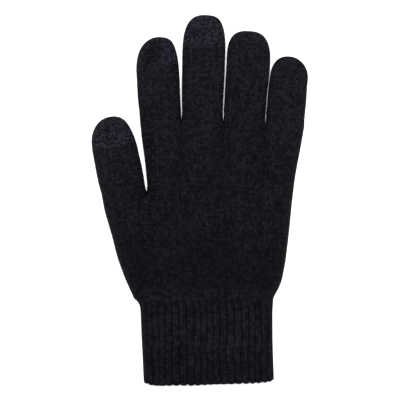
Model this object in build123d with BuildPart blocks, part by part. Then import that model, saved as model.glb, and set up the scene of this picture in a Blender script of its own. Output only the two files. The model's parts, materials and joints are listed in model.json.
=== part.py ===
from build123d import *
import os
from math import cos, radians, sin

os.makedirs("parts", exist_ok=True)

# A knit glove lying open on its back: fingers toward +Y, palm face up (+Z). Millimetres.
WALL = 1.5            # knit fabric of the hand and fingers
GAP = 0.4             # clear line between two lengths of tube that bend on each other
FINGER_H = 11.4       # height of a finger tube
PALM_H = 14.5         # height in the middle of the palm
EDGE_R = 5.0          # roundness of the folded side edges

KNUCKLE_Y = 50.5      # line of the finger roots
WRIST_Y = -66.0       # line between jersey palm and ribbed cuff

THUMB_X, THUMB_Y = -34.5, 4.6   # bottom of the slot between thumb and palm
THUMB_LEAN = 9.0
THUMB_BEND = 21.5     # along the thumb from its root
THUMB_TOUCH = 32.5    # where the touch yarn starts

CUFF_LEFT = -38.0
CUFF_RIGHT = 47.2
CUFF_H = 11.4
CUFF_R = 5.4
CUFF_WALL = 1.9
CUFF_SLANT = 2.0      # degrees that the hem leans
HEM_Y = -120.0        # left end of the hem
HEM = 1.4
RIB_PITCH = 4.4
RIB_R = 0.8
RIB_DEPTH = 0.55
ELASTIC_Y = (-73.0, -83.0, -93.0, -103.0, -112.0)
ELASTIC = 0.7

THREAD_R = 0.45
STITCH = 5.5
CLEAR = 0.05

# root x, lean to the right in degrees, width, tip y, middle bend y, tip bend y
FINGERS = {
    "index": (-25.5, -3.0, 26.9, 105.7, 70.0, 88.6),
    "middle": (1.6, 1.3, 26.8, 120.0, 75.5, 100.0),
    "ring": (28.5, 4.0, 26.7, 109.6, 70.5, 90.0),
    "little": (55.35, 4.8, 24.9, 93.2, 65.0, 79.5),
}
TOUCH = ("index", "middle")

# plan corners of palm and thumb, each with its rounding
HAND = (
    (47.2, -82, 6), (47.2, -66, 20), (56.5, -42, 40), (59.5, 0, 100), (68.5, 62, 6), (-40.5, 62, 6),
    (-35.6, 26, 60), (-34.0, -1, 0.3), (-38.4, 25.5, 60), (-42.4, 42, 20), (-46.5, 54.9, 8),
    (-66, 54.9, 10), (-70.6, 38, 30), (-64.9, 5, 80), (-52, -41, 50), (-38.0, -66, 20), (-38.0, -82, 6),
)


def save(solid, name):
    solid.label = name
    export_step(solid, f"parts/{name}.step")


def finger_point(finger, side, along):
    """A plan point given across and along a leaning finger."""
    root_x, lean = FINGERS[finger][:2]
    a = radians(lean)
    return (root_x + side * cos(a) + along * sin(a), KNUCKLE_Y - side * sin(a) + along * cos(a))


def finger_length(finger):
    return (FINGERS[finger][3] - KNUCKLE_Y) / cos(radians(FINGERS[finger][1]))


def finger_solid(finger, inset):
    """A whole finger with rounded edges; inset gives the room inside it."""
    half = FINGERS[finger][2] / 2 - inset
    length = finger_length(finger) - inset
    a = radians(FINGERS[finger][1])
    bend = ((1, 21), (0.87, 9), (0.53, 1.7), (0, 0))
    right = [finger_point(finger, k * half, length - d) for k, d in bend]
    left = [finger_point(finger, -k * half, length - d) for k, d in reversed(bend)]
    with BuildPart() as body:
        with BuildSketch(Plane.XY.offset(inset)):
            with BuildLine():
                Line(finger_point(finger, -half, -12), finger_point(finger, half, -12))
                Line(finger_point(finger, half, -12), right[0])
                Spline(*right, tangents=((sin(a), cos(a)), (-cos(a), sin(a))))
                Spline(*left, tangents=((-cos(a), sin(a)), (-sin(a), -cos(a))))
                Line(left[-1], finger_point(finger, -half, -12))
            make_face()
        extrude(amount=FINGER_H - 2 * inset)
        fillet(body.faces().filter_by(Axis.Z).edges(), radius=EDGE_R - inset)
    return body.part


def hand_solid(inset):
    """Palm and thumb in one rounded shape with an arched top."""
    with BuildPart() as body:
        with BuildSketch(Plane.XY.offset(inset)) as plan:
            with BuildLine():
                Polyline(*[(x, y) for x, y, r in HAND], close=True)
            make_face()
            for x, y, r in HAND:
                fillet(plan.vertices().sort_by_distance((x, y, inset))[0], radius=r)
            if inset:
                offset(amount=-inset, mode=Mode.REPLACE)
        extrude(amount=30)
        with BuildSketch(Plane.YZ):
            with BuildLine():
                ThreePointArc((-96, 7.5 - inset), (-8, PALM_H - inset), (80, 7.5 - inset))
                Polyline((80, 7.5 - inset), (80, 0), (-96, 0), (-96, 7.5 - inset))
            make_face()
        extrude(amount=200, both=True, mode=Mode.INTERSECT)
        rims = body.edges().filter_by(lambda e: max(abs(e.tangent_at(t).Z) for t in (0.1, 0.5)) < 0.3)
        fillet(rims, radius=EDGE_R - inset)
    return body.part


def cuff_solid(inset, start, end):
    """A length of the cuff's oval section along Y."""
    wide = CUFF_RIGHT - CUFF_LEFT - 2 * inset
    with BuildPart() as body:
        with BuildSketch(Plane.XZ.offset(-start)):
            with Locations(((CUFF_LEFT + CUFF_RIGHT) / 2, CUFF_H / 2)):
                RectangleRounded(wide, CUFF_H - 2 * inset, CUFF_R - inset)
        extrude(amount=start - end)
    return body.part


def slab(low, high):
    """Everything between two lines across the hand."""
    return Location((0, (low + high) / 2, 0)) * Box(400, high - low, 100, mode=Mode.PRIVATE)


def thumb_block(low, high):
    """Everything between two lines across the thumb, up to the slot beside the palm."""
    root = Location((THUMB_X, THUMB_Y, 0), (0, 0, THUMB_LEAN))
    block = Box(100, high - low, 100, mode=Mode.PRIVATE)
    return root * Location((-50, (low + high) / 2, 0)) * block


def hem_block(low, high):
    """Everything between two lines parallel to the slanted hem, measured up from it."""
    root = Location((CUFF_LEFT, HEM_Y, 0), (0, 0, CUFF_SLANT))
    block = Box(400, high - low, 100, mode=Mode.PRIVATE)
    return root * Location((0, (low + high) / 2, 0)) * block


def thread(x, y, z, length, radius, turn, tilt=0):
    """A straight thread along Y before it is turned in plan."""
    rod = Cylinder(radius, length, rotation=(90, 0, 0), mode=Mode.PRIVATE)
    return Location((x, y, z), (0, 0, turn)) * Location((0, 0, 0), (tilt, 0, 0)) * rod


hand_outer = hand_solid(0)
hand_inner = hand_solid(WALL)
thumb_a = radians(THUMB_LEAN)

# stitches that close the crotches, lying on the palm below each one
STITCHES = {
    "crotch_stitch_index_middle": (-12.0, 46.8, 11.8, 0, -5.7),
    "crotch_stitch_middle_ring": (15.1, 46.8, 11.8, 0, -5.7),
    "crotch_stitch_ring_little": (42.4, 46.8, 11.8, 0, -5.7),
    "crotch_stitch_thumb": (THUMB_X + 3.5 * sin(thumb_a), THUMB_Y - 3.5 * cos(thumb_a), PALM_H - 0.1,
                            THUMB_LEAN, 0),
}
for name, (x, y, z, turn, tilt) in STITCHES.items():
    with BuildPart() as stitch:
        add(thread(x, y, z, STITCH, THREAD_R, turn, tilt))
    save(stitch.part, name)

with BuildPart() as palm:
    add(hand_outer)
    add(hand_inner, mode=Mode.SUBTRACT)
    add(slab(WRIST_Y + GAP / 2, KNUCKLE_Y - GAP / 2), mode=Mode.INTERSECT)
    add(thumb_block(-GAP / 2, 90), mode=Mode.SUBTRACT)
    for x, y, z, turn, tilt in STITCHES.values():
        cut = thread(x, y, z, STITCH + 2 * CLEAR, THREAD_R + CLEAR, turn, tilt)
        add(cut, mode=Mode.SUBTRACT)
save(palm.part, "palm")

# thumb: one plain length, one plain end and the touch yarn tip
tip_stitch = (-55.6, 54.9 - WALL - 0.2, FINGER_H / 2)
for name, low, high in (
    ("thumb_root_tube", GAP / 2, THUMB_BEND - GAP / 2),
    ("thumb_end_tube", THUMB_BEND + GAP / 2, THUMB_TOUCH),
    ("thumb_touch_tip", THUMB_TOUCH, 90),
):
    with BuildPart() as tube:
        add(hand_outer)
        add(hand_inner, mode=Mode.SUBTRACT)
        add(thumb_block(low, high), mode=Mode.INTERSECT)
        if name == "thumb_touch_tip":
            add(thread(*tip_stitch, 5 + 2 * CLEAR, THREAD_R + CLEAR, 90), mode=Mode.SUBTRACT)
    save(tube.part, name)
with BuildPart() as stitch:
    add(thread(*tip_stitch, 5, THREAD_R, 90))
save(stitch.part, "thumb_tip_stitch")

# fingers: root, middle and tip lengths of each tube, and the stitch that closes the tip
for finger, (_, lean, _, _, bend_y, end_y) in FINGERS.items():
    outer = finger_solid(finger, 0)
    inner = finger_solid(finger, WALL)
    x, y = finger_point(finger, 0, finger_length(finger) - WALL - 0.2)
    last = "touch_tip" if finger in TOUCH else "tip"
    for part, low, high in (
        ("root_tube", KNUCKLE_Y + GAP / 2, bend_y - GAP / 2),
        ("middle_tube", bend_y + GAP / 2, end_y - GAP / 2),
        (last, end_y + GAP / 2, 140),
    ):
        with BuildPart() as tube:
            add(outer)
            add(inner, mode=Mode.SUBTRACT)
            add(slab(low, high), mode=Mode.INTERSECT)
            if part == last:
                cut = thread(x, y, FINGER_H / 2, 5 + 2 * CLEAR, THREAD_R + CLEAR, 90 - lean)
                add(cut, mode=Mode.SUBTRACT)
        save(tube.part, f"{finger}_{part}")
    with BuildPart() as stitch:
        add(thread(x, y, FINGER_H / 2, 5, THREAD_R, 90 - lean))
    save(stitch.part, f"{finger}_tip_stitch")

# ribbed cuff with grooves outside and a channel inside for each elastic thread
cuff_top = WRIST_Y - GAP / 2
ribs = int((CUFF_RIGHT - CUFF_LEFT - 2 * CUFF_R) / RIB_PITCH) + 1
middle_x = (CUFF_LEFT + CUFF_RIGHT) / 2
cuff_outer = cuff_solid(0, cuff_top, -130)
cuff_inner = cuff_solid(CUFF_WALL, 0, -140)
channels = [cuff_solid(CUFF_WALL - ELASTIC, y + 0.5, y - 0.5) for y in ELASTIC_Y]
with BuildPart() as cuff:
    add(cuff_outer)
    add(cuff_inner, mode=Mode.SUBTRACT)
    add(hem_block(HEM, 90), mode=Mode.INTERSECT)
    for channel in channels:
        add(channel, mode=Mode.SUBTRACT)
    for i in range(ribs):
        x = middle_x + (i - (ribs - 1) / 2) * RIB_PITCH
        for z in (CUFF_H + RIB_R - RIB_DEPTH, RIB_DEPTH - RIB_R):
            add(thread(x, -95, z, 120, RIB_R, 0), mode=Mode.SUBTRACT)
save(cuff.part, "cuff")

hem_inner = cuff_solid(CUFF_WALL + 0.2, -80, -140)
with BuildPart() as hem:
    add(cuff_outer)
    add(hem_inner, mode=Mode.SUBTRACT)
    add(hem_block(0, HEM), mode=Mode.INTERSECT)
save(hem.part, "cuff_hem")

for i, y in enumerate(ELASTIC_Y, start=1):
    band = cuff_solid(CUFF_WALL - ELASTIC + CLEAR, y + 0.4, y - 0.4)
    room = cuff_solid(CUFF_WALL + CLEAR, y + 1, y - 1)
    with BuildPart() as ring:
        add(band)
        add(room, mode=Mode.SUBTRACT)
    save(ring.part, f"cuff_elastic_{i}")
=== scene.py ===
import json
import math

import bmesh
import bpy
import numpy as np
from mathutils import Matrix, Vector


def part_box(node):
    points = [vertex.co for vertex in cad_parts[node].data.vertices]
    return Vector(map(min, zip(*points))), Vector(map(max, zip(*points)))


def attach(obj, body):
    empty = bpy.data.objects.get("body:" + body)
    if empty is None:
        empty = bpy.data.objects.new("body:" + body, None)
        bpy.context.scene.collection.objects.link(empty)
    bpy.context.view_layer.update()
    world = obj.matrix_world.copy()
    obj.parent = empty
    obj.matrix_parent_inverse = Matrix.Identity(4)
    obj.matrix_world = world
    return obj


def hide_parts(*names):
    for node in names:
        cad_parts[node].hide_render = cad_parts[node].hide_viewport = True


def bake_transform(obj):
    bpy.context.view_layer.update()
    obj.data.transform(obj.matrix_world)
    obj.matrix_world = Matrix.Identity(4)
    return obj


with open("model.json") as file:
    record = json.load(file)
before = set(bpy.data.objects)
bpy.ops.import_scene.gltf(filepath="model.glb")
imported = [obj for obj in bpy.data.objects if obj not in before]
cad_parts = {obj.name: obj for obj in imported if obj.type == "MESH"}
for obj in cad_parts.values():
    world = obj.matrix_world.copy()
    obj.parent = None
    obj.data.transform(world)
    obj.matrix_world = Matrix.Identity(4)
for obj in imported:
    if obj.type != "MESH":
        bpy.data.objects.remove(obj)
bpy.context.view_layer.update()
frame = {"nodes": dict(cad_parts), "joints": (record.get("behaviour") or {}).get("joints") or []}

# ---------------------------------------------------------------- driving sizes, in millimetres
MM = 0.001
WALL = 1.3             # thickness of the knit in the hand and fingers
CUFF_WALL = WALL + 0.3
LINING_SHARE = 0.3     # most of the room between top and underside that one wall takes
MID = 4.9              # height of the folded side edges above the table
FLOOR = 0.25           # the underside rests just above the table
SIDE_REACH = 9.0       # how far in from a side edge the palm's top takes to rise
CUFF_SIDE_REACH = 5.2  # the same in the cuff
UNDER_REACH = 6.0      # how far in the underside takes to come down
CUFF_EASE = 12.0       # length over which the palm's section turns into the cuff's
FINGER_COLUMNS = 28    # mesh columns across one finger
ROW = 1.15             # mesh spacing along the glove
CREASE = 12.0          # length of the valley that runs down from a crotch
WALE = 1.65            # spacing of the stitch columns
COURSE = 1.3           # spacing of the stitch rows
RIB_PITCH = 4.4
RIB_DEPTH = 0.6
GROOVE = 0.16          # half width of a groove as a share of the pitch
SEAM_COLUMNS = 4       # cuff columns over which the ribs fade out at the side folds
RIB_START, RIB_FULL = -56.0, -69.0     # the ribs fade in from the first to the second
FOLD_Y = -93.0         # faint fold across the cuff
MERGE = 0.002          # points nearer than this are one point
SLIVER = 0.0005        # edges shorter than this are dissolved
STITCH_UNIT = 10.0     # millimetres of knit to one unit of the stitch coordinates


def node_box(name):
    """Lowest and highest corner of a CAD node in millimetres."""
    low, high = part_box(name)
    return np.array(low) / MM, np.array(high) / MM


def joint(name):
    """The row of a joint in the frame."""
    return next(j for j in frame["joints"] if j["name"] == name)


def joint_point(name):
    """Where a joint turns, in millimetres."""
    return np.array(joint(name)["pos_m"]) / MM


PALM_TOP = node_box("palm")[1][2]
WRIST_Y = joint_point("cuff_bend")[1]
HEM_Y = node_box("cuff_hem")[0][1]
THUMB_AXIS = np.array(joint("thumb_root_bend")["axis"][:2])
THUMB_DIR = np.array((-THUMB_AXIS[1], THUMB_AXIS[0]))
THUMB_ROOT = np.array((-34.5, 5.5))    # the thumb's crotch


# ---------------------------------------------------------------- small maths
ARCH_Y = -8.0
ARCH_WIDTH = 1113.0    # the palm falls 1 mm at the square root of this from its highest place


def curve(points, x):
    """Smooth curve through (place, value) points."""
    place, value = np.array(points, float).T
    slope = np.gradient(value, place)
    x = np.clip(x, place[0], place[-1])
    i = np.clip(np.searchsorted(place, x) - 1, 0, len(place) - 2)
    h = place[i + 1] - place[i]
    t = (x - place[i]) / h
    a = 2 * t**3 - 3 * t**2 + 1
    b = t**3 - 2 * t**2 + t
    c = 3 * t**2 - 2 * t**3
    d = t**3 - t**2
    return a * value[i] + b * h * slope[i] + c * value[i + 1] + d * h * slope[i + 1]


def smooth(t):
    """0 up to t = 0, 1 from t = 1, and an even turn between."""
    t = np.clip(t, 0, 1)
    return t * t * (3 - 2 * t)


def mix(a, b, t):
    """a at t = 0 and b at t = 1."""
    return a + (b - a) * t


def rise(gap, reach, power):
    """Quarter round: 0 at a side edge, 1 from reach inwards."""
    t = np.clip(gap / reach, 0, 1)
    return (1 - (1 - t) ** power) ** (1 / power)


def lobe(side, power):
    """Round section across a finger; side runs from -1 to 1."""
    return np.maximum(1 - np.abs(side) ** power, 0) ** (1 / power)


def arch(y):
    """Height of the palm along its middle, highest at ARCH_Y."""
    return PALM_TOP - (y - ARCH_Y) ** 2 / ARCH_WIDTH


def ripple(x, y):
    """Gentle unevenness of limp cloth: long, middle and short waves whose crests bend."""
    bend = 2.2 * np.sin(0.031 * x - 0.044 * y + 1.1)
    side = 1.9 * np.sin(0.052 * y + 0.027 * x + 0.4)
    long_wave = 0.20 * np.sin(0.11 * x + 0.06 * y + bend)
    middle_wave = 0.15 * np.sin(0.19 * y - 0.07 * x + side)
    short_wave = 0.08 * np.sin(0.41 * x + 0.13 * y + bend + side)
    return long_wave + middle_wave + short_wave


# ---------------------------------------------------------------- outline of the hand
# (distance along the glove, place across it) points of each edge as it lies flat
INDEX_SIDE = ((5.5, -34.5), (9, -34.2), (18, -34.9), (28.5, -36.0), (38.8, -37.5), (54, -39.1))
THUMB_SIDE = (
    (-72, -38.5), (-69.2, -38.8), (-67, -39.4), (-65.4, -40.3), (-64.2, -41.8), (-63, -42.9),
    (-61.5, -43.5), (-57, -45.6), (-49, -49.0), (-39, -52.7), (-23, -57.0), (-3, -62.5), (1, -63.2),
)
LITTLE_SIDE = (
    (-72, 46.9), (-66, 47.3), (-62.6, 47.7), (-60.3, 48.9), (-58, 50.2), (-54.3, 51.9),
    (-44, 54.5), (-28.5, 56.7), (2.6, 60.0), (18, 62.0), (33.6, 64.9), (50, 67.7),
)
CUFF_JOIN = -72        # the cuff's edges hold below this place, the hand's above it
CUFF_LEFT = ((-120, -36.3), (-106, -36.9), (-90, -37.7), (-72, -38.5))
CUFF_RIGHT = ((-120, 48.0), (-106, 47.5), (-90, 47.0), (-72, 46.9))
# (place across, how far in from the hem's box the cuff ends)
HEM_EDGE = (
    (-39, 3.9), (-36, 2.8), (-32, 1.9), (-15, 1.45), (-2, 1.5), (8, 2.15), (20, 2.45), (30, 2.65),
    (41, 3.35), (46, 4.1), (49, 5.2),
)


def left_edge(y):
    """The edge on the thumb's side."""
    return np.where(y < CUFF_JOIN, curve(CUFF_LEFT, y), curve(THUMB_SIDE, y))


def right_edge(y):
    """The edge on the little finger's side."""
    return np.where(y < CUFF_JOIN, curve(CUFF_RIGHT, y), curve(LITTLE_SIDE, y))


def crotch_line(x):
    """The line across the hand where the finger tubes begin."""
    return 51.45 - 0.044 * x


# root: left and right end of the finger's root; half: (distance from the root, half width);
# line: (distance, place across) of its middle; tip: reach and power of its roundness
FINGERS = {
    "index": {
        "root": (-39.0, -12.1),
        "half": ((0, 13.45), (3, 13.45), (6, 13.6), (18, 13.85), (30, 13.95), (70, 13.95)),
        "line": ((0, -25.55), (5.6, -25.85), (12, -26.4), (18.6, -26.75), (25, -27.0),
                 (33, -27.4), (42, -27.3), (46, -26.95), (50, -26.15), (55, -24.8)),
        "tip": (26, 2.5),
    },
    "middle": {
        "root": (-12.1, 15.2),
        "half": ((0, 13.65), (3, 13.35), (13, 13.4), (20, 13.62), (33, 13.82), (70, 13.95)),
        "line": ((0, 1.55), (7, 1.6), (13, 1.62), (20, 1.82), (33, 2.23), (46, 2.55), (60, 3.15),
                 (64, 3.5), (67, 4.0), (70, 4.3)),
        "tip": (26, 2.9),
    },
    "ring": {
        "root": (15.2, 42.5),
        "half": ((0, 13.65), (3, 13.45), (8, 13.6), (19, 13.68), (24, 13.82), (28, 13.96),
                 (36, 14.1), (60, 14.1)),
        "line": ((0, 28.85), (3, 28.82), (8, 29.02), (14.5, 29.37), (19.2, 29.7), (24.3, 30.14),
                 (28, 30.47), (34, 30.97), (39, 31.3), (60, 31.5)),
        "tip": (20, 2.8),
    },
    "little": {
        "root": (42.5, 67.6),
        "half": ((0, 12.55), (3, 12.45), (12, 12.58), (20, 12.58), (28, 12.42), (36, 12.72),
                 (45, 12.65)),
        "line": ((0, 55.05), (3, 55.12), (6, 55.32), (12.5, 55.88), (18.9, 56.38), (25.4, 56.92),
                 (28.6, 57.3), (34, 57.72), (45, 57.25)),
        "tip": (17, 2.25),
    },
}
TOUCH = ("index", "middle")            # fingers with a touch tip
CUT_SHIFT = 0.4        # the first cut across a tube lies this far past its middle
FINGER_FALL = 0.4      # a finger is this much lower at its tip
FALL_LENGTH = 40.0     # and gets there over this length
# the thumb's tables run from its crotch: (distance, half width) and (distance, sideways)
THUMB_HALF = ((0, 14.5), (3, 14.4), (10, 14.75), (18, 14.85), (27, 14.65), (52, 14.8))
THUMB_SIDEWAYS = ((0, -14.5), (8, -15.0), (18, -15.4), (30, -15.95), (42, -16.4), (52, -15.6))
THUMB_LENGTH = 51.9
THUMB_TIP = (24, 2.32)                 # reach and power of its roundness
THUMB_TOUCH = 32.0     # where the thumb's touch yarn starts
THUMB_FALL = 0.3       # the thumb lies this much lower than the palm's arch
TIP_BLUNT = 9.0        # the underside and top close over this length at a tip
TIP_POWER = 2.2        # roundness of that closing
TIP_ROWS = 22          # mesh rows round a tip
SWAY = 0.8             # share of the palm's unevenness that the tubes have
SWAY_START = 6.0       # length over which it fades in
ROOT_GAP = 0.1         # a place this far past the crotch line at a finger's root


# ---------------------------------------------------------------- meshes from blocks of a grid
class Skin:
    """Collects grids of points with stitch coordinates and turns them into one mesh."""

    def __init__(self):
        self.points, self.faces, self.stitch = [], [], []
        self.count = 0

    def add(self, points, stitch, flip=False):
        """One block of the grid; flip turns its faces over."""
        rows, columns = points.shape[:2]
        index = np.arange(rows * columns).reshape(rows, columns) + self.count
        # the four corners of every face, going round it, as slices of the grid
        corners = (slice(0, -1), slice(0, -1)), (slice(0, -1), slice(1, None))
        corners += (slice(1, None), slice(1, None)), (slice(1, None), slice(0, -1))
        if flip:
            corners = corners[::-1]
        self.faces.append(np.stack([index[c].ravel() for c in corners], 1))
        self.stitch.append(np.stack([stitch[c].reshape(-1, 2) for c in corners], 1))
        self.points.append(points.reshape(-1, 3))
        self.count += rows * columns

    def cloth(self, points, stitch, flip, thickness):
        """A layer of knit: its outer face and, thickness inside it, its inner face."""
        self.add(points, stitch, flip)
        along = np.gradient(points, axis=0)
        across = np.gradient(points, axis=1)
        normal = np.cross(across, along)
        normal /= np.maximum(np.linalg.norm(normal, axis=2, keepdims=True), 1e-9)
        if flip:
            normal = -normal
        self.add(points - normal * thickness[..., None], stitch, not flip)

    def build(self, name, material, slot):
        """The mesh object, with blocks joined where their points meet."""
        faces = np.concatenate(self.faces)
        mesh = bpy.data.meshes.new(name)
        mesh.from_pydata((np.concatenate(self.points) * MM).tolist(), [], faces.tolist())
        layer = mesh.uv_layers.new(name="knit")
        uv = np.concatenate(self.stitch).reshape(-1) / STITCH_UNIT
        layer.data.foreach_set("uv", uv.astype(np.float32))
        form = bmesh.new()
        form.from_mesh(mesh)
        bmesh.ops.remove_doubles(form, verts=form.verts, dist=MERGE * MM)
        bmesh.ops.dissolve_degenerate(form, edges=form.edges, dist=SLIVER * MM)
        form.to_mesh(mesh)
        form.free()
        mesh.polygons.foreach_set("use_smooth", [True] * len(mesh.polygons))
        obj = bpy.data.objects.new(name, mesh)
        bpy.context.scene.collection.objects.link(obj)
        mesh.materials.append(material)
        return obj


def wall_between(top, under):
    """Wall thickness that keeps the linings clear of each other where the layers come together."""
    return np.minimum(WALL, LINING_SHARE * (top[..., 2] - under[..., 2]))


# ---------------------------------------------------------------- palm
SIDE = np.sin(np.linspace(-math.pi / 2, math.pi / 2, FINGER_COLUMNS + 1))
NAMES = tuple(FINGERS)
CENTRE = FINGER_COLUMNS // 2           # the middle column of a tube
PALM_END = -57.0       # where the palm's mesh ends and the cuff's begins
FINGER_TOP = 11.1      # height of the finger roots
PALM_LENGTH = 50.0     # the upper palm has as many rows as fit up to here
CUFF_TOP = node_box("cuff")[1][2]
LOBE_TOP, LOBE_UNDER = 2.4, 4.0        # roundness of a tube's section
SIDE_POWER, UNDER_POWER = 2.2, 3.0     # roundness of the palm's sides
EDGE_SAMPLES = 4000
CROWDING = 0.35        # how far the palm's columns crowd towards its edges
# the thumb's section turns into the palm's over these lengths: at the thumb's outer edge, at its
# crotch and across the palm
EDGE_EASE, CROTCH_EASE, PALM_EASE = 20.0, 7.0, 14.0


def full_share(x, left, right, reach, power):
    """0 at both edges and 1 from reach inwards."""
    return rise(x - left, reach, power) * rise(right - x, reach, power)


def plain_layers(x, y, left, right):
    """Heights of the top and the underside of the palm away from the crotches."""
    cuffward = smooth((PALM_END - y) / CUFF_EASE)
    height = mix(arch(y), CUFF_TOP, cuffward)
    over = full_share(x, left, right, mix(SIDE_REACH, CUFF_SIDE_REACH, cuffward), SIDE_POWER)
    under = full_share(x, left, right, UNDER_REACH, UNDER_POWER)
    return MID + (height - MID + ripple(x, y)) * over, MID - (MID - FLOOR) * under


def close_sides(top, under):
    """Both layers meet along the folded side edges."""
    for layer in (top, under):
        layer[:, 0] = MID
        layer[:, -1] = MID


def even_fractions(count, y):
    """Places from the left to the right edge that are evenly spaced along the rounded top."""
    left, right = left_edge(y), right_edge(y)
    share = 0.5 - 0.5 * np.cos(np.linspace(0, math.pi, EDGE_SAMPLES))
    x = mix(left, right, share)
    z = plain_layers(x, y, left, right)[0]
    length = np.concatenate(([0], np.cumsum(np.hypot(np.diff(x), np.diff(z)))))
    return np.interp(np.linspace(0, length[-1], count + 1), length, share)


def arc_from_centre(points, centre):
    """Signed length along each row of points, counted from one column."""
    step = np.linalg.norm(np.diff(points, axis=-2), axis=-1)
    length = np.concatenate((np.zeros(step.shape[:-1] + (1,)), np.cumsum(step, axis=-1)), axis=-1)
    return length - length[..., centre : centre + 1]


def stack(x, y, z):
    """One grid of points from its three coordinates."""
    return np.stack((x, y, z), axis=-1)


def finger_columns():
    """Place across the hand of every finger's columns at the crotch line."""
    ends = np.array([FINGERS[name]["root"] for name in NAMES])
    left, right = ends[:, :1], ends[:, 1:]
    return (left + right) / 2 + SIDE * (right - left) / 2


finger_x = finger_columns()
finger_y = crotch_line(finger_x)
finger_z = np.broadcast_to(MID + (FINGER_TOP - MID) * lobe(SIDE, LOBE_TOP), finger_x.shape)
finger_arc = arc_from_centre(stack(finger_x, finger_y, finger_z), CENTRE)

# upper palm, from the thumb's crotch to the finger crotches: one block of columns per finger
thumb_row_y = THUMB_ROOT[1]
palm_columns = FINGER_COLUMNS * len(NAMES)
block = np.arange(FINGER_COLUMNS + 1)[None, :] + FINGER_COLUMNS * np.arange(len(NAMES))[:, None]
even = np.linspace(0, 1, palm_columns + 1)
crowded = 0.5 - 0.5 * np.cos(np.linspace(0, math.pi, palm_columns + 1))
spread = CROWDING * crowded + (1 - CROWDING) * even
stitch_x = mix(float(curve(INDEX_SIDE, thumb_row_y)), float(right_edge(thumb_row_y)), spread)


def upper_palm():
    """Top, underside and stitch coordinates between the thumb's crotch and the fingers."""
    rows = int((PALM_LENGTH - thumb_row_y) / ROW)
    r = np.linspace(0, 1, rows + 1)[:, None, None]
    y = mix(thumb_row_y, finger_y[None], r)
    f_low = spread[block][None]
    left_c, right_c = curve(INDEX_SIDE, finger_y), right_edge(finger_y)
    f_high = ((finger_x - left_c) / (right_c - left_c))[None]
    left, right = curve(INDEX_SIDE, y), right_edge(y)
    x = mix(left, right, mix(f_low, f_high, r))
    plain = plain_layers(x, y, left, right)
    away = smooth((finger_y[None] - y) / CREASE)
    top = mix(finger_z[None], plain[0], away)
    under = mix(MID - (MID - FLOOR) * lobe(SIDE, LOBE_UNDER), plain[1], away)
    for layer in (top, under):
        layer[:, 0, 0] = MID
        layer[:, -1, -1] = MID
    column_u = stitch_x[block]
    u = mix(column_u[:, CENTRE : CENTRE + 1] + finger_arc, column_u, away)
    return stack(x, y, top), stack(x, y, under), np.stack((u, y), axis=-1)


# the line across the palm where the thumb's tube begins
thumb_t = -THUMB_HALF[0][1] + THUMB_HALF[0][1] * SIDE
thumb_start = THUMB_ROOT + thumb_t[:, None] * THUMB_AXIS
thumb_start_top = MID + (arch(thumb_start[:, 1]) - THUMB_FALL - MID) * lobe(SIDE, LOBE_TOP)
thumb_start_under = MID - (MID - FLOOR) * lobe(SIDE, LOBE_UNDER)
thumb_ring = stack(thumb_start[:, 0], thumb_start[:, 1], thumb_start_top)
thumb_arc = arc_from_centre(thumb_ring, CENTRE)


def first_row(grid):
    """The lowest row of the upper palm's blocks, end to end, with no column twice."""
    return np.concatenate([grid[0, k, (0 if k == 0 else 1):] for k in range(len(NAMES))])


def lower_palm(upper_top, upper_under):
    """From the wrist to the thumb's cut line and the row of its crotch."""
    rows = int((thumb_row_y - PALM_END) / ROW)
    r = np.linspace(0, 1, rows + 1)[:, None]
    palm_top_row, palm_under_row = first_row(upper_top), first_row(upper_under)
    x_split = np.concatenate((thumb_start[:, 0], palm_top_row[1:, 0]))
    y_split = np.concatenate((thumb_start[:, 1], palm_top_row[1:, 1]))
    top_split = np.concatenate((thumb_start_top, palm_top_row[1:, 2]))
    under_split = np.concatenate((thumb_start_under, palm_under_row[1:, 2]))
    f_low = even_fractions(FINGER_COLUMNS + palm_columns, PALM_END)
    left_s, right_s = left_edge(y_split), right_edge(y_split)
    f_high = (x_split - left_s) / (right_s - left_s)
    y = mix(PALM_END, y_split[None], r)
    left, right = left_edge(y), right_edge(y)
    x = mix(left, right, mix(f_low[None], f_high[None], r))
    plain = plain_layers(x, y, left, right)
    reach = np.concatenate((np.linspace(EDGE_EASE, CROTCH_EASE, FINGER_COLUMNS),
                            np.linspace(CROTCH_EASE, PALM_EASE, palm_columns + 1)))
    away = smooth((y_split[None] - y) / reach)
    top = mix(top_split[None], plain[0], away)
    under = mix(under_split[None], plain[1], away)
    close_sides(top, under)
    thumb_u = x_split[CENTRE] + thumb_arc
    u_split = np.concatenate((thumb_u[:-1], x_split[FINGER_COLUMNS:]))
    u = mix(u_split[None], x_split[None], away)
    v_split = thumb_row_y + (y - y_split[None])
    return stack(x, y, top), stack(x, y, under), np.stack((u, mix(v_split, y, away)), axis=-1)


def make_palm(material):
    """The palm's knit; gives back the grids of its top for the crotch stitches."""
    skin = Skin()
    top, under, stitch = upper_palm()
    for k in range(len(NAMES)):
        wall = wall_between(top[:, k], under[:, k])
        skin.cloth(top[:, k], stitch[:, k], False, wall)
        skin.cloth(under[:, k], stitch[:, k], True, wall)
    low_top, low_under, low_stitch = lower_palm(top, under)
    wall = wall_between(low_top, low_under)
    skin.cloth(low_top, low_stitch, False, wall)
    skin.cloth(low_under, low_stitch, True, wall)
    palm = skin.build("palm_knit", material, "black_jersey")
    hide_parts("palm")
    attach(palm, "palm")
    return top, low_top


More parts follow.
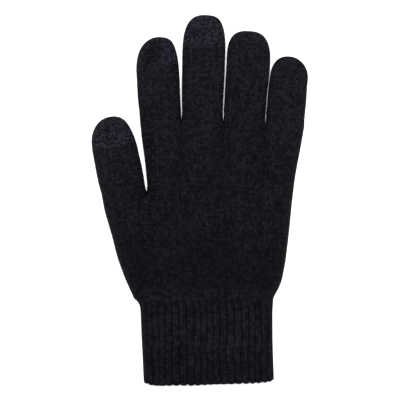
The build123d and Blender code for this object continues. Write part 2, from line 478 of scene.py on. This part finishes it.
# ---------------------------------------------------------------- fingers and thumb
def stations(stops, tip, reach):
    """Distances along a tube: even between the stops, closing up towards the tip."""
    groups = []
    for low, high in zip(stops[:-1], stops[1:]):
        groups.append(np.linspace(low, high, max(2, int(round((high - low) / ROW))) + 1))
    last = tip - stops[-1]
    turn = math.acos(max(1 - last / reach, 0)) if last < reach else math.pi / 2
    steps = np.cos(np.linspace(turn, 0, TIP_ROWS))
    head = tip - reach * (1 - steps)
    if last > reach:
        straight = np.linspace(stops[-1], tip - reach, max(2, int(round((last - reach) / ROW))) + 1)
        head = np.concatenate((straight[:-1], head))
    head[0], head[-1] = stops[-1], tip
    groups.append(head)
    return groups


def tube_layers(place, v, tip, half, tip_shape, height):
    """Top and underside of a tube at distances v.

    place(v, across) gives the plan point, half(v) the half width and height(y) the height.
    """
    v = v[:, None]
    reach, power = tip_shape
    width = half(v) * rise(tip - v, reach, power)
    x, y = place(v, width * SIDE[None])
    close = rise(tip - v, TIP_BLUNT, TIP_POWER)
    sway = ripple(x, y) * smooth(v / SWAY_START) * SWAY
    top = MID + (height(y) - MID + sway) * lobe(SIDE, LOBE_TOP)[None] * close
    under = MID - (MID - FLOOR) * lobe(SIDE, LOBE_UNDER)[None] * close
    return stack(x, y, top), stack(x, y, under)


def make_tube(groups, layers, stitch_start, pieces):
    """One object per group of stations; pieces gives (name, material, slot, CAD node) for each.

    layers(v) gives the two layers at distances v, and stitch_start is where their stitches start:
    across at the middle column, and along at every column.
    """
    v_all = np.concatenate([g if i == 0 else g[1:] for i, g in enumerate(groups)])
    top, under = layers(v_all)
    u = stitch_start[0] + arc_from_centre(top, CENTRE)
    middle = top[:, CENTRE]
    along = np.concatenate(([0], np.cumsum(np.linalg.norm(np.diff(middle, axis=0), axis=1))))
    stitch = np.stack((u, stitch_start[1][None] + along[:, None]), axis=-1)
    wall = wall_between(top, under)
    first, made = 0, []
    for group, (name, material, slot, node) in zip(groups, pieces):
        rows = slice(first, first + len(group))
        first += len(group) - 1
        skin = Skin()
        skin.cloth(top[rows], stitch[rows], False, wall[rows])
        skin.cloth(under[rows], stitch[rows], True, wall[rows])
        obj = skin.build(name, material, slot)
        if node:
            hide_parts(node)
        made.append(obj)
    return made


def blend_between(obj):
    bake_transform(obj)


def make_finger(name, k, materials):
    """The four lengths of finger k; the upper one has no CAD node of its own."""
    shape = FINGERS[name]
    line = shape["line"]
    jersey = materials["jersey"]
    last = "touch_tip" if name in TOUCH else "tip"
    tip_y = node_box(f"{name}_{last}")[1][1]
    bend, tip_bend = joint_point(f"{name}_middle_bend"), joint_point(f"{name}_tip_bend")

    def half(v):
        return curve(shape["half"], v)

    def place(v, across):
        x = curve(line, v) + across
        return x, crotch_line(x) + v

    def distance(point):
        return point[1] - crotch_line(point[0])

    tip = tip_y - crotch_line(line[-1][1])
    v_bend, v_tip = distance(bend), distance(tip_bend)
    stops = (0.0, v_bend / 2 + CUT_SHIFT, (v_bend + v_tip) / 2, v_tip)
    groups = stations(stops, tip, shape["tip"][0])

    def height(y):
        return FINGER_TOP - FINGER_FALL * smooth((y - finger_y[k, CENTRE]) / FALL_LENGTH)

    def layers(v):
        return tube_layers(place, v, tip, half, shape["tip"], height)

    stitch_start = (stitch_x[block][k, CENTRE], crotch_line(finger_x[k]))
    tip_material = (jersey, "black_jersey")
    if name in TOUCH:
        tip_material = (touch_material(name, stitch_start[0], stitch_start[1][CENTRE]), "touch_yarn")
    made = make_tube(groups, layers, stitch_start, (
        (f"{name}_root_knit", jersey, "black_jersey", f"{name}_root_tube"),
        (f"{name}_middle_knit", jersey, "black_jersey", f"{name}_middle_tube"),
        (f"{name}_upper_knit", jersey, "black_jersey", None),
        (f"{name}_tip_knit", *tip_material, f"{name}_{last}"),
    ))
    x, z = bend[0], MID
    root_top = crotch_line(shape["root"][0]) + ROOT_GAP
    first_cut = crotch_line(x) + stops[1]
    blend_between(made[0])
    blend_between(made[1])
    for obj in made[2:]:
        blend_between(obj)


def thumb_point(s, t):
    """Plan position at distance s along the thumb and t across it, from its crotch."""
    x = THUMB_ROOT[0] + s * THUMB_DIR[0] + t * THUMB_AXIS[0]
    y = THUMB_ROOT[1] + s * THUMB_DIR[1] + t * THUMB_AXIS[1]
    return x, y


def make_thumb(materials):
    """The three lengths of the thumb, the last two of them above its upper joint."""
    bend = joint_point("thumb_end_bend")[:2] - THUMB_ROOT
    s_bend = float(bend @ THUMB_DIR)

    def half(s):
        return curve(THUMB_HALF, s)

    def place(s, across):
        return thumb_point(s, curve(THUMB_SIDEWAYS, s) + across)

    stops = (0.0, s_bend / 2 + CUT_SHIFT, THUMB_TOUCH)
    groups = stations(stops, THUMB_LENGTH, THUMB_TIP[0])

    def height(y):
        return arch(y) - THUMB_FALL

    def layers(s):
        return tube_layers(place, s, THUMB_LENGTH, half, THUMB_TIP, height)

    stitch_start = (thumb_start[CENTRE, 0], np.full(FINGER_COLUMNS + 1, thumb_row_y))
    jersey, touch = materials["thumb"], touch_material("thumb", stitch_start[0], thumb_row_y)
    made = make_tube(groups, layers, stitch_start, (
        ("thumb_root_knit", jersey, "black_jersey", "thumb_root_tube"),
        ("thumb_end_knit", jersey, "black_jersey", "thumb_end_tube"),
        ("thumb_tip_knit", touch, "touch_yarn", "thumb_touch_tip"),
    ))
    blend_between(made[0])
    for obj in made[1:]:
        blend_between(obj)


# ---------------------------------------------------------------- cuff
CUFF_SPLIT = 2         # cuff columns for each palm column
CUFF_ROW = 1.2         # mesh spacing along the cuff
HEM_ROWS = 2           # the last mesh rows belong to the hem
RIM_ROWS = 7           # mesh rows round the rim
FOLD_STEP = 0.9        # sideways step of the ribs at the fold
FOLD_FLAT = 0.6        # share of their depth that they lose there
FOLD_HALF = 1.2        # half width of the fold
LINING_ROOM = (0.8, 1.0)               # the lining keeps this far from underside and top
ELASTIC_ROOM = (1.1, 1.3)              # the middle of the elastic keeps this far
ELASTIC_DEPTH = WALL + 0.35            # and lies this deep inside the cuff
ELASTIC_RADIUS = 0.38
ELASTIC_CLEAR = 6      # mesh columns left free at each side fold
ELASTIC_STEP = 4       # mesh columns from one point of the elastic to the next
THREAD_RADIUS = 0.3
STITCH_LIFT = 0.22     # the middle of a crotch stitch lies this far above the knit
STITCH_SIDE = 5        # mesh columns taken on each side of a crotch
STITCH_ROWS = (-2, -4, -6)             # mesh rows, from a crotch down, with a bar across
BAR_HALF = 3           # mesh columns that a bar reaches to each side of the valley
VALLEY_ROWS = 6        # mesh rows that the thread along the valley follows


def rib_place(u, y):
    """Distance across the ribs, a groove at every RIB_PITCH, drifting a little as real ribs do."""
    drift = 0.22 * np.sin(y / 8.0 + u / 14.0) + 0.18 * np.sin(y / 3.9 + u / 9.0) + 0.5 * np.sin(u / 5.3)
    drift = drift + FOLD_STEP * smooth((FOLD_Y + 1.5 - y) / 3)
    return u + drift


def inside(points, normal, depth, room):
    """Points moved in by depth, and kept room's two distances from underside and top."""
    inner = points - normal * depth
    inner[..., 2] = np.clip(inner[..., 2], FLOOR + room[0], CUFF_TOP - room[1])
    return inner


def cuff_layers():
    """Outer points, outward normals and stitch coordinates of the cuff's top and underside."""
    coarse = even_fractions(FINGER_COLUMNS + palm_columns, PALM_END)
    fine = np.linspace(0, len(coarse) - 1, (len(coarse) - 1) * CUFF_SPLIT + 1)
    f = np.interp(fine, np.arange(len(coarse)), coarse)[None]
    edge_x = mix(CUFF_LEFT[0][1], CUFF_RIGHT[0][1], f)
    end_y = HEM_Y + curve(HEM_EDGE, edge_x)
    rows = int((PALM_END - HEM_Y) / CUFF_ROW)
    r = np.linspace(0, 1, rows + 1)[:, None]
    columns = np.arange(f.shape[1])
    from_fold = np.minimum(columns, columns[::-1])
    sheets = []
    for layer in (0, 1):
        y = mix(PALM_END, end_y, r)
        left, right = left_edge(y), right_edge(y)
        x = mix(left, right, f)
        z = plain_layers(x, y, left, right)[layer]
        points = stack(x, y, z)
        u = arc_from_centre(points, f.shape[1] // 2)
        place = rib_place(u, y)
        phase = place / RIB_PITCH - np.round(place / RIB_PITCH)
        groove = np.exp(-(phase / GROOVE) ** 2)
        groove = groove * (1 - FOLD_FLAT * np.exp(-((y - FOLD_Y) / FOLD_HALF) ** 2))
        depth = RIB_DEPTH * smooth((RIB_START - y) / (RIB_START - RIB_FULL))
        depth = depth * smooth(from_fold / SEAM_COLUMNS)
        # the mouth's edge draws in at each groove, more in some places than in others
        points[-1, :, 1] += groove[-1] * (0.6 + 0.4 * np.sin(u[-1] / 6.5 + 3.6))
        along, across = np.gradient(points, axis=0), np.gradient(points, axis=1)
        normal = np.cross(along, across)
        normal /= np.maximum(np.linalg.norm(normal, axis=2, keepdims=True), 1e-9)
        if layer:
            normal = -normal
        points = points - normal * (depth * groove)[..., None]
        sheets.append((points, normal, np.stack((place, y), axis=-1)))
    return sheets


def make_cuff(materials):
    """The cuff and its hem; gives back the cuff's two sheets for the elastic."""
    sheets = cuff_layers()
    body, hem = Skin(), Skin()
    for layer, (points, normal, stitch) in enumerate(sheets):
        inner = inside(points, normal, CUFF_WALL, LINING_ROOM)
        inner[:, 0] = points[:, 0] + np.array((CUFF_WALL, 0, 0))
        inner[:, -1] = points[:, -1] - np.array((CUFF_WALL, 0, 0))
        end = len(points) - HEM_ROWS
        flip = layer == 0
        body.add(points[:end], stitch[:end], flip)
        body.add(inner[:end], stitch[:end], not flip)
        hem.add(points[end - 1 :], stitch[end - 1 :], flip)
        hem.add(inner[end - 1 :], stitch[end - 1 :], not flip)
        turn = np.linspace(0, math.pi, RIM_ROWS)[:, None, None]
        middle = (points[-1] + inner[-1]) / 2
        radius = (points[-1] - inner[-1]) / 2
        rim = middle + np.cos(turn) * radius + np.sin(turn) * np.array((0, -1, 0)) * CUFF_WALL / 2
        rim_stitch = stitch[-1][None] - np.array((0, 1)) * turn * (WALL / 2)
        hem.add(rim, rim_stitch, flip)
    cuff = body.build("cuff_knit", materials["rib"], "black_rib")
    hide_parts("cuff")
    blend_between(cuff)
    edge = hem.build("cuff_hem_knit", materials["rib"], "black_rib")
    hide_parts("cuff_hem")
    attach(edge, "cuff")
    return sheets


def tube_mesh(path, radius, closed, sides=8):
    """Points and faces of a thread along a path."""
    path = np.asarray(path, float)
    ahead = np.roll(path, -1, axis=0) - np.roll(path, 1, axis=0)
    if not closed:
        ahead[0], ahead[-1] = path[1] - path[0], path[-1] - path[-2]
    ahead /= np.linalg.norm(ahead, axis=1, keepdims=True)
    up = np.array((0.13, 0.21, 0.97))      # no thread runs this way
    side = np.cross(ahead, up)
    side /= np.linalg.norm(side, axis=1, keepdims=True)
    lift = np.cross(side, ahead)
    turn = np.linspace(0, 2 * math.pi, sides, endpoint=False)[None, :, None]
    ring = path[:, None] + radius * (np.cos(turn) * side[:, None] + np.sin(turn) * lift[:, None])
    count = len(path)
    faces = []
    for i in range(count if closed else count - 1):
        j = (i + 1) % count
        for s in range(sides):
            t = (s + 1) % sides
            faces.append((i * sides + s, i * sides + t, j * sides + t, j * sides + s))
    if not closed:
        faces.append(tuple(range(sides)))
        faces.append(tuple((count - 1) * sides + s for s in reversed(range(sides))))
    return ring.reshape(-1, 3), faces


def make_threads(name, paths, radius, closed, material):
    """One object of several threads."""
    points, faces, start = [], [], 0
    for path in paths:
        p, f = tube_mesh(path, radius, closed)
        points.append(p)
        faces += [tuple(i + start for i in face) for face in f]
        start += len(p)
    mesh = bpy.data.meshes.new(name)
    mesh.from_pydata((np.concatenate(points) * MM).tolist(), [], faces)
    mesh.polygons.foreach_set("use_smooth", [True] * len(mesh.polygons))
    mesh.materials.append(material)
    obj = bpy.data.objects.new(name, mesh)
    bpy.context.scene.collection.objects.link(obj)
    return obj


def make_elastic(sheets, material):
    """Covered elastic laid round the inside of the cuff, clear of its side folds."""
    number = 1
    while f"cuff_elastic_{number}" in frame["nodes"]:
        node = f"cuff_elastic_{number}"
        low, high = node_box(node)
        y = (low[1] + high[1]) / 2
        path = []
        for layer, (points, normal, _) in enumerate(sheets):
            inner = inside(points, normal, ELASTIC_DEPTH, ELASTIC_ROOM)
            row = np.abs(inner[:, :, 1].mean(axis=1) - y).argmin()
            part = inner[row, ELASTIC_CLEAR:-ELASTIC_CLEAR:ELASTIC_STEP].copy()
            part[:, 1] = y
            path.append(part if layer == 0 else part[::-1])
        thread = make_threads(f"{node}_thread", [np.concatenate(path)], ELASTIC_RADIUS, True,
                              material)
        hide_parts(node)
        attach(thread, "cuff")
        number += 1


def make_crotch_stitches(top, low_top, material):
    """Threads that close each crotch: three bars over the valley and one thread along it."""
    lift = np.array((0, 0, STITCH_LIFT))
    places = {}
    for k in range(len(NAMES) - 1):
        left, right = top[:, k, -STITCH_SIDE - 1 :], top[:, k + 1, 1 : STITCH_SIDE + 1]
        places[f"crotch_stitch_{NAMES[k]}_{NAMES[k + 1]}"] = (left, right)
    edge = FINGER_COLUMNS + 1
    left, right = low_top[:, edge - STITCH_SIDE - 1 : edge], low_top[:, edge : edge + STITCH_SIDE]
    places["crotch_stitch_thumb"] = (left, right)
    for node, (left, right) in places.items():
        both = np.concatenate((left, right), axis=1)
        valley = STITCH_SIDE
        threads = [both[-VALLEY_ROWS - 1 : -1, valley] + lift]
        for row in STITCH_ROWS:
            columns = range(valley - BAR_HALF, valley + BAR_HALF + 1)
            bar = [both[row - (i > valley), i] for i in columns]
            threads.append(np.stack(bar) + lift)
        thread = make_threads(f"{node}_thread", threads, THREAD_RADIUS, False, material)
        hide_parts(node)
        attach(thread, "palm")


# ---------------------------------------------------------------- materials
BLACK_YARN_AND_GAP_SHADE = (0.0006, 0.0005, 0.0008)       # painted shade between the yarns, and the darkest of the yarn
SOFT_BLACK = (0.0108, 0.0099, 0.0140)  # the lightest of the plain yarn
TOUCH_SOFT = (0.0200, 0.0184, 0.0258)  # the lightest of the touch yarn
NAVY = (0.0162, 0.0151, 0.0295)
GREY = (0.0215, 0.0208, 0.0235)
DARK_YARN = (0.0050, 0.0047, 0.0068)
COOL, WARM = (0.88, 0.98, 1.02), (1.12, 0.98, 1.02)    # the yarn's colour wanders between these
# a patch colour at its lowest tone, and the painted shade in the grooves between a thread's plies
DIM, PLY_GROOVE_SHADE = (0.2, 0.2, 0.2), (0.5, 0.5, 0.5)
YARN_GLOSS, THREAD_GLOSS, FLOOR_GLOSS = 0.04, 0.2, 0.1
KNIT_RELIEF, THREAD_RELIEF = 0.0005, 0.0001            # depth of the bumps, in metres
WANDER, SLIP = 2.5, 2.0        # room in which stitch columns and rows stray, in millimetres
SLANT = 1.3                    # rows that a V rises for each whole column
TOUCH_FLECK_AND_GLINT_CELLS = (2.2, 1.7)      # flecks and painted glints to a column and to a row in the touch yarn
RIB_FLECKS = (2.5, 1.5)        # flecks to a column and to a row in the ribs
# painted light: how light the knit is at places along it, rising towards the fingertips as under a
# light above them
PALM_PAINTED_LIGHT = (
    (-56.0, 0.64), (-46.0, 0.58), (-34.0, 0.65), (-20.0, 0.76), (8.0, 0.78), (32.0, 0.85),
    (46.0, 1.04), (57.0, 1.0), (65.0, 1.1), (73.0, 1.28), (81.0, 1.4), (90.0, 1.38),
    (96.0, 1.3), (104.0, 2.0),
)
# painted light along the thumb and along the touch tips, lighter towards their ends
THUMB_PAINTED_LIGHT = ((5.5, 0.78), (14.0, 1.0), (20.0, 1.13), (30.0, 1.3))
TOUCH_PAINTED_LIGHT = ((37.0, 0.75), (46.0, 1.1), (55.0, 1.2))
RIB_TONES = (
    (-118.0, 0.70), (-104.0, 0.72), (-96.0, 0.90), (-70.0, 0.90), (-62.0, 0.76), (-56.0, 0.66),
)
# per touch tip: place in the tip across and along its stitches, size, colour and strength
TOUCH_PATCHES = {
    "index": (((5.5, 43.5), 6.5, NAVY, 0.75), ((-3.0, 43.5), 9.5, DARK_YARN, 0.85)),
    "middle": (((-1.0, 59.0), 12.0, NAVY, 0.6), ((5.2, 59.5), 4.5, GREY, 0.7),
               ((-7.5, 57.0), 3.5, DARK_YARN, 0.6)),
    "thumb": (((4.0, 41.5), 6.0, NAVY, 0.65), ((-3.0, 45.0), 4.0, DARK_YARN, 0.5)),
}


def shade(colour, by=(1, 1, 1)):
    """A colour, each of its parts times by, with full alpha."""
    return (*[c * k for c, k in zip(colour, by)], 1)


class Nodes:
    """Short calls for building one material."""

    def __init__(self, name):
        self.material = bpy.data.materials.new(name)
        self.material.use_nodes = True
        self.tree = self.material.node_tree
        self.shader = self.tree.nodes["Principled BSDF"]

    def put(self, socket, value):
        """Links a node's output to a socket, or sets a plain value on it."""
        if isinstance(value, bpy.types.NodeSocket):
            self.tree.links.new(value, socket)
        elif value is not None:
            socket.default_value = value

    def math(self, operation, a, b=None, c=None, clamp=False):
        node = self.tree.nodes.new("ShaderNodeMath")
        node.operation = operation
        node.use_clamp = clamp
        for socket, value in zip(node.inputs, (a, b, c)):
            self.put(socket, value)
        return node.outputs[0]

    def plus(self, a, b):
        return self.math("ADD", a, b)

    def minus(self, a, b):
        return self.math("SUBTRACT", a, b)

    def times(self, a, b):
        return self.math("MULTIPLY", a, b)

    def over(self, a, b):
        return self.math("DIVIDE", a, b)

    def square(self, a):
        return self.math("POWER", a, 2.0)

    def bell(self, a):
        """1 where a is 0, falling away on both sides."""
        return self.math("EXPONENT", self.times(self.square(a), -1.0))

    def join(self, x, y, z=0.0):
        node = self.tree.nodes.new("ShaderNodeCombineXYZ")
        for socket, value in zip(node.inputs, (x, y, z)):
            self.put(socket, value)
        return node.outputs[0]

    def noise(self, vector, scale, detail=2.0, rough=0.5):
        node = self.tree.nodes.new("ShaderNodeTexNoise")
        self.put(node.inputs["Vector"], vector)
        node.inputs["Scale"].default_value = scale
        node.inputs["Detail"].default_value = detail
        node.inputs["Roughness"].default_value = rough
        return node.outputs["Fac"]

    def cells(self, across, along):
        """One random value for each whole step across and along."""
        node = self.tree.nodes.new("ShaderNodeTexWhiteNoise")
        node.noise_dimensions = "2D"
        corner = self.join(self.math("FLOOR", across), self.math("FLOOR", along))
        self.put(node.inputs["Vector"], corner)
        return node.outputs["Value"]

    def range(self, value, low, high, to_low, to_high):
        node = self.tree.nodes.new("ShaderNodeMapRange")
        for socket, v in zip(node.inputs, (value, low, high, to_low, to_high)):
            self.put(socket, v)
        return node.outputs[0]

    def along(self, place, table):
        """Straight between the table's (place, value) points, and level beyond its ends."""
        value = table[0][1]
        for (low, first), (high, last) in zip(table[:-1], table[1:]):
            value = self.math("ADD", value, self.range(place, low, high, 0.0, last - first))
        return value

    def mix_colour(self, share, a, b):
        node = self.tree.nodes.new("ShaderNodeMix")
        node.data_type = "RGBA"
        self.put(node.inputs["Factor"], share)
        self.put(node.inputs["A"], a)
        self.put(node.inputs["B"], b)
        return node.outputs["Result"]

    def stitch_place(self):
        """Stitch coordinates in millimetres, across and along the knit."""
        uv = self.tree.nodes.new("ShaderNodeUVMap")
        uv.uv_map = "knit"
        split = self.tree.nodes.new("ShaderNodeSeparateXYZ")
        self.put(split.inputs[0], uv.outputs[0])
        return self.times(split.outputs[0], STITCH_UNIT), self.times(split.outputs[1], STITCH_UNIT)

    def bump(self, height, distance, strength):
        node = self.tree.nodes.new("ShaderNodeBump")
        node.inputs["Strength"].default_value = strength
        node.inputs["Distance"].default_value = distance
        self.put(node.inputs["Height"], height)
        self.put(self.shader.inputs["Normal"], node.outputs[0])


def ribs(n, u, v, column, line, tone):
    """Paints shade into the grooves between the ribs, more in some places than others, and flecks it.
    """
    rib = n.over(u, RIB_PITCH)
    groove = n.bell(n.over(n.minus(rib, n.math("ROUND", rib)), GROOVE))
    # how strong the painted groove shade is, varying from place to place
    groove_shade_strength = n.range(n.noise(n.join(n.times(u, 1.6), v), 0.13, 2.0), 0.3, 0.7, 0.35, 0.95)
    groove = n.times(groove, n.times(groove_shade_strength, n.range(v, RIB_FULL, RIB_START, 1.0, 0.0)))
    # painted shade: darker in the grooves between the ribs
    tone = n.times(tone, n.minus(1.15, n.times(groove, 1.1)))
    fleck = n.cells(n.times(column, RIB_FLECKS[0]), n.times(line, RIB_FLECKS[1]))
    return n.times(tone, n.range(fleck, 0.0, 1.0, 0.55, 1.45))


def flecks(n, column, line, tone):
    """Touch yarn: its flecks run from dark to plain, and one in ten is a painted glint, much lighter.
    """
    fleck = n.cells(n.times(column, TOUCH_FLECK_AND_GLINT_CELLS[0]), n.times(line, TOUCH_FLECK_AND_GLINT_CELLS[1]))
    tone = n.times(tone, n.range(fleck, 0.0, 0.9, 0.15, 1.05))
    # painted glints: the lightest tenth of the cells
    return n.plus(tone, n.range(fleck, 0.9, 1.0, 0.0, 1.6))


def knit_material(name, light, tones, wale=WALE, ribbed=False, patches=(), grain=1.0):
    """Fine knit: columns of small V stitches with uneven yarn, painted shade between the stitch legs,
    and loose fibres.

    light is the colour of its lightest yarn, and grain is how much one stitch differs from the next.
    """
    n = Nodes(name)
    u, v = n.stitch_place()
    place = n.join(u, v)
    wander = n.minus(n.noise(place, 0.07, 2.0), 0.5)
    slip = n.minus(n.noise(n.join(v, u), 0.08, 2.0), 0.5)
    column = n.over(n.plus(u, n.times(wander, 0.0 if ribbed else WANDER)), wale)
    line = n.over(n.plus(v, n.times(slip, SLIP)), COURSE)

    # each stitch is two slanted legs with a gap at its middle and a gutter at its sides
    offset = n.math("ABSOLUTE", n.minus(n.math("FRACT", column), 0.5))
    row = n.plus(line, n.times(offset, SLANT))
    gutter = n.math("POWER", n.times(offset, 2.0), 4.0)
    gap = n.bell(n.times(offset, 11.0))
    leg = n.math("SUBTRACT", n.minus(1.0, gutter), n.times(gap, 0.4), clamp=True)
    loop = n.plus(0.6, n.times(n.math("COSINE", n.times(row, 2 * math.pi)), 0.4))
    stitch = n.times(leg, loop)
    fibre = n.noise(n.join(u, n.times(v, 0.6)), 3.2, 3.0, 0.7)
    n.bump(n.plus(stitch, n.times(fibre, 0.35)), KNIT_RELIEF, 1.0)

    # tone: painted shade from the stitch relief (darker in each stitch's middle gap and side gutters),
    # single stitches, stretches of a column, stretches of a row, and broad patches
    tone = n.plus(n.times(stitch, 1.3), n.times(n.cells(column, row), grain))
    tone = n.plus(tone, n.times(n.cells(column, n.times(line, 0.06)), 0.22 * grain))
    tone = n.plus(tone, n.times(n.cells(n.times(column, 0.08), line), 0.14 * grain))
    tone = n.math("POWER", n.times(tone, 0.5), 2.5)
    if patches:
        tone = flecks(n, column, line, tone)
    if ribbed:
        tone = ribs(n, u, v, column, line, tone)
    broad = n.range(n.noise(place, 0.04, 3.0, 0.6), 0.3, 0.7, 0.86, 1.12)
    # the little finger is lighter than its neighbours
    little = n.times(n.range(u, 42.0, 54.0, 0.0, 0.33), n.range(v, 35.0, 60.0, 0.0, 1.0))
    # tones along the knit; for the hand, thumb and touch tips they are painted light, lighter towards
    # the fingertips
    tone = n.times(tone, n.times(broad, n.plus(n.along(v, tones), little)))

    warmth = n.cells(row, n.times(column, 0.5))
    yarn = n.mix_colour(warmth, shade(light, COOL), shade(light, WARM))
    # low tone, where the painted shade between the stitch legs falls, goes to near black
    colour = n.mix_colour(tone, shade(BLACK_YARN_AND_GAP_SHADE), yarn)
    for (across, along), size, tint, strength in patches:
        away = n.math("SQRT", n.plus(n.square(n.minus(u, across)), n.square(n.minus(v, along))))
        uneven = n.times(n.minus(n.noise(place, 0.35, 3.0, 0.6), 0.5), 9.0)
        share = n.range(n.plus(away, uneven), 0.4 * size, 1.1 * size, 1.0, 0.0)
        yarn = n.mix_colour(tone, shade(tint, DIM), shade(tint))
        colour = n.mix_colour(n.times(share, strength), colour, yarn)
    n.put(n.shader.inputs["Base Color"], colour)
    n.put(n.shader.inputs["Roughness"], n.range(fibre, 0.3, 0.7, 0.75, 0.95))
    n.shader.inputs["Specular IOR Level"].default_value = YARN_GLOSS
    return n.material


def touch_material(name, across, along):
    """Touch yarn with its patches placed from where the tube's stitches start."""
    patches = [((across + p[0], along + p[1]), *rest) for p, *rest in TOUCH_PATCHES[name]]
    return knit_material(f"touch_{name}", TOUCH_SOFT, TOUCH_PAINTED_LIGHT, patches=patches, grain=1.3)


def thread_material(name, colour, turns):
    """Twisted thread: fine slanted ply lines, with painted shade in the grooves between them."""
    n = Nodes(name)
    place = n.tree.nodes.new("ShaderNodeTexCoord").outputs["Object"]
    wave = n.tree.nodes.new("ShaderNodeTexWave")
    wave.bands_direction = "DIAGONAL"
    wave.inputs["Scale"].default_value = turns
    wave.inputs["Distortion"].default_value = 1.5
    n.put(wave.inputs["Vector"], place)
    ply = wave.outputs["Fac"]
    fuzz = n.noise(place, 2600.0, 2.0)
    n.put(n.shader.inputs["Base Color"], n.mix_colour(ply, shade(colour, PLY_GROOVE_SHADE), shade(colour)))
    n.put(n.shader.inputs["Roughness"], n.range(fuzz, 0.3, 0.7, 0.6, 0.9))
    n.shader.inputs["Specular IOR Level"].default_value = THREAD_GLOSS
    n.bump(n.plus(ply, fuzz), THREAD_RELIEF, 0.7)
    return n.material


def floor_material():
    """Pale paint with broad, faint clouds."""
    n = Nodes("floor_paint")
    place = n.tree.nodes.new("ShaderNodeTexCoord").outputs["Object"]
    pale = n.mix_colour(n.noise(place, 3.0), (0.93, 0.93, 0.93, 1), (0.96, 0.96, 0.96, 1))
    n.put(n.shader.inputs["Base Color"], pale)
    n.shader.inputs["Roughness"].default_value = 0.9
    n.shader.inputs["Specular IOR Level"].default_value = FLOOR_GLOSS
    return n.material


# ---------------------------------------------------------------- floor, light and camera
FLOOR_HALF = 4.0       # half the floor's side, in metres
VIEW_WIDTH = 0.2588    # of the table that the view takes in, in metres
VIEW_SHIFT = 0.0003    # the view's middle lies this far towards the fingers, in metres


def area_light(name, place, size, watts):
    """A square light that points at the origin."""
    data = bpy.data.lights.new(name, "AREA")
    data.shape = "SQUARE"
    data.size = size
    data.energy = watts
    light = bpy.data.objects.new(name, data)
    light.location = place
    aim = -np.array(place)
    tilt = math.atan2(math.hypot(aim[0], aim[1]), -aim[2])
    light.rotation_euler = (tilt, 0, math.atan2(aim[1], aim[0]) - math.pi / 2)
    bpy.context.scene.collection.objects.link(light)


def studio():
    """Plain floor, an even white surround and one soft light above the fingertips."""
    mesh = bpy.data.meshes.new("floor")
    corners = [(x * FLOOR_HALF, y * FLOOR_HALF, 0) for x, y in ((-1, -1), (1, -1), (1, 1), (-1, 1))]
    mesh.from_pydata(corners, [], [(0, 1, 2, 3)])
    mesh.materials.append(floor_material())
    floor = bpy.data.objects.new("floor", mesh)
    bpy.context.scene.collection.objects.link(floor)
    world = bpy.data.worlds.new("studio")
    world.use_nodes = True
    surround = world.node_tree.nodes["Background"]
    surround.inputs["Color"].default_value = (1, 1, 1, 1)
    surround.inputs["Strength"].default_value = 1.0
    bpy.context.scene.world = world
    area_light("key", place=(0.02, 0.22, 1.7), size=0.55, watts=38.0)
    bpy.context.scene.view_settings.view_transform = "Standard"


def camera():
    """Looks straight down on the glove, from far enough for the lens to take in VIEW_WIDTH."""
    data = bpy.data.cameras.new("camera")
    data.lens = 180
    data.sensor_width = 36
    eye = bpy.data.objects.new("camera", data)
    eye.location = (0, VIEW_SHIFT, VIEW_WIDTH * data.lens / data.sensor_width + MID * MM)
    bpy.context.scene.collection.objects.link(eye)
    bpy.context.scene.camera = eye


# ---------------------------------------------------------------- build
materials = {
    "jersey": knit_material("jersey", SOFT_BLACK, PALM_PAINTED_LIGHT),
    "thumb": knit_material("thumb_jersey", SOFT_BLACK, THUMB_PAINTED_LIGHT),
    "rib": knit_material("rib", SOFT_BLACK, RIB_TONES, wale=RIB_PITCH / 2, ribbed=True),
    "thread": thread_material("thread", (0.004, 0.0037, 0.0052), 900.0),
    "elastic": thread_material("elastic", (0.012, 0.012, 0.014), 500.0),
}
palm_top_grid, palm_low_grid = make_palm(materials["jersey"])
for number, finger in enumerate(NAMES):
    make_finger(finger, number, materials)
make_thumb(materials)
cuff_sheets = make_cuff(materials)
make_elastic(cuff_sheets, materials["elastic"])
make_crotch_stitches(palm_top_grid, palm_low_grid, materials["thread"])
for name, node in frame["nodes"].items():
    if name.endswith("tip_stitch"):
        node.material_slots[0].material = materials["thread"]
studio()
camera()
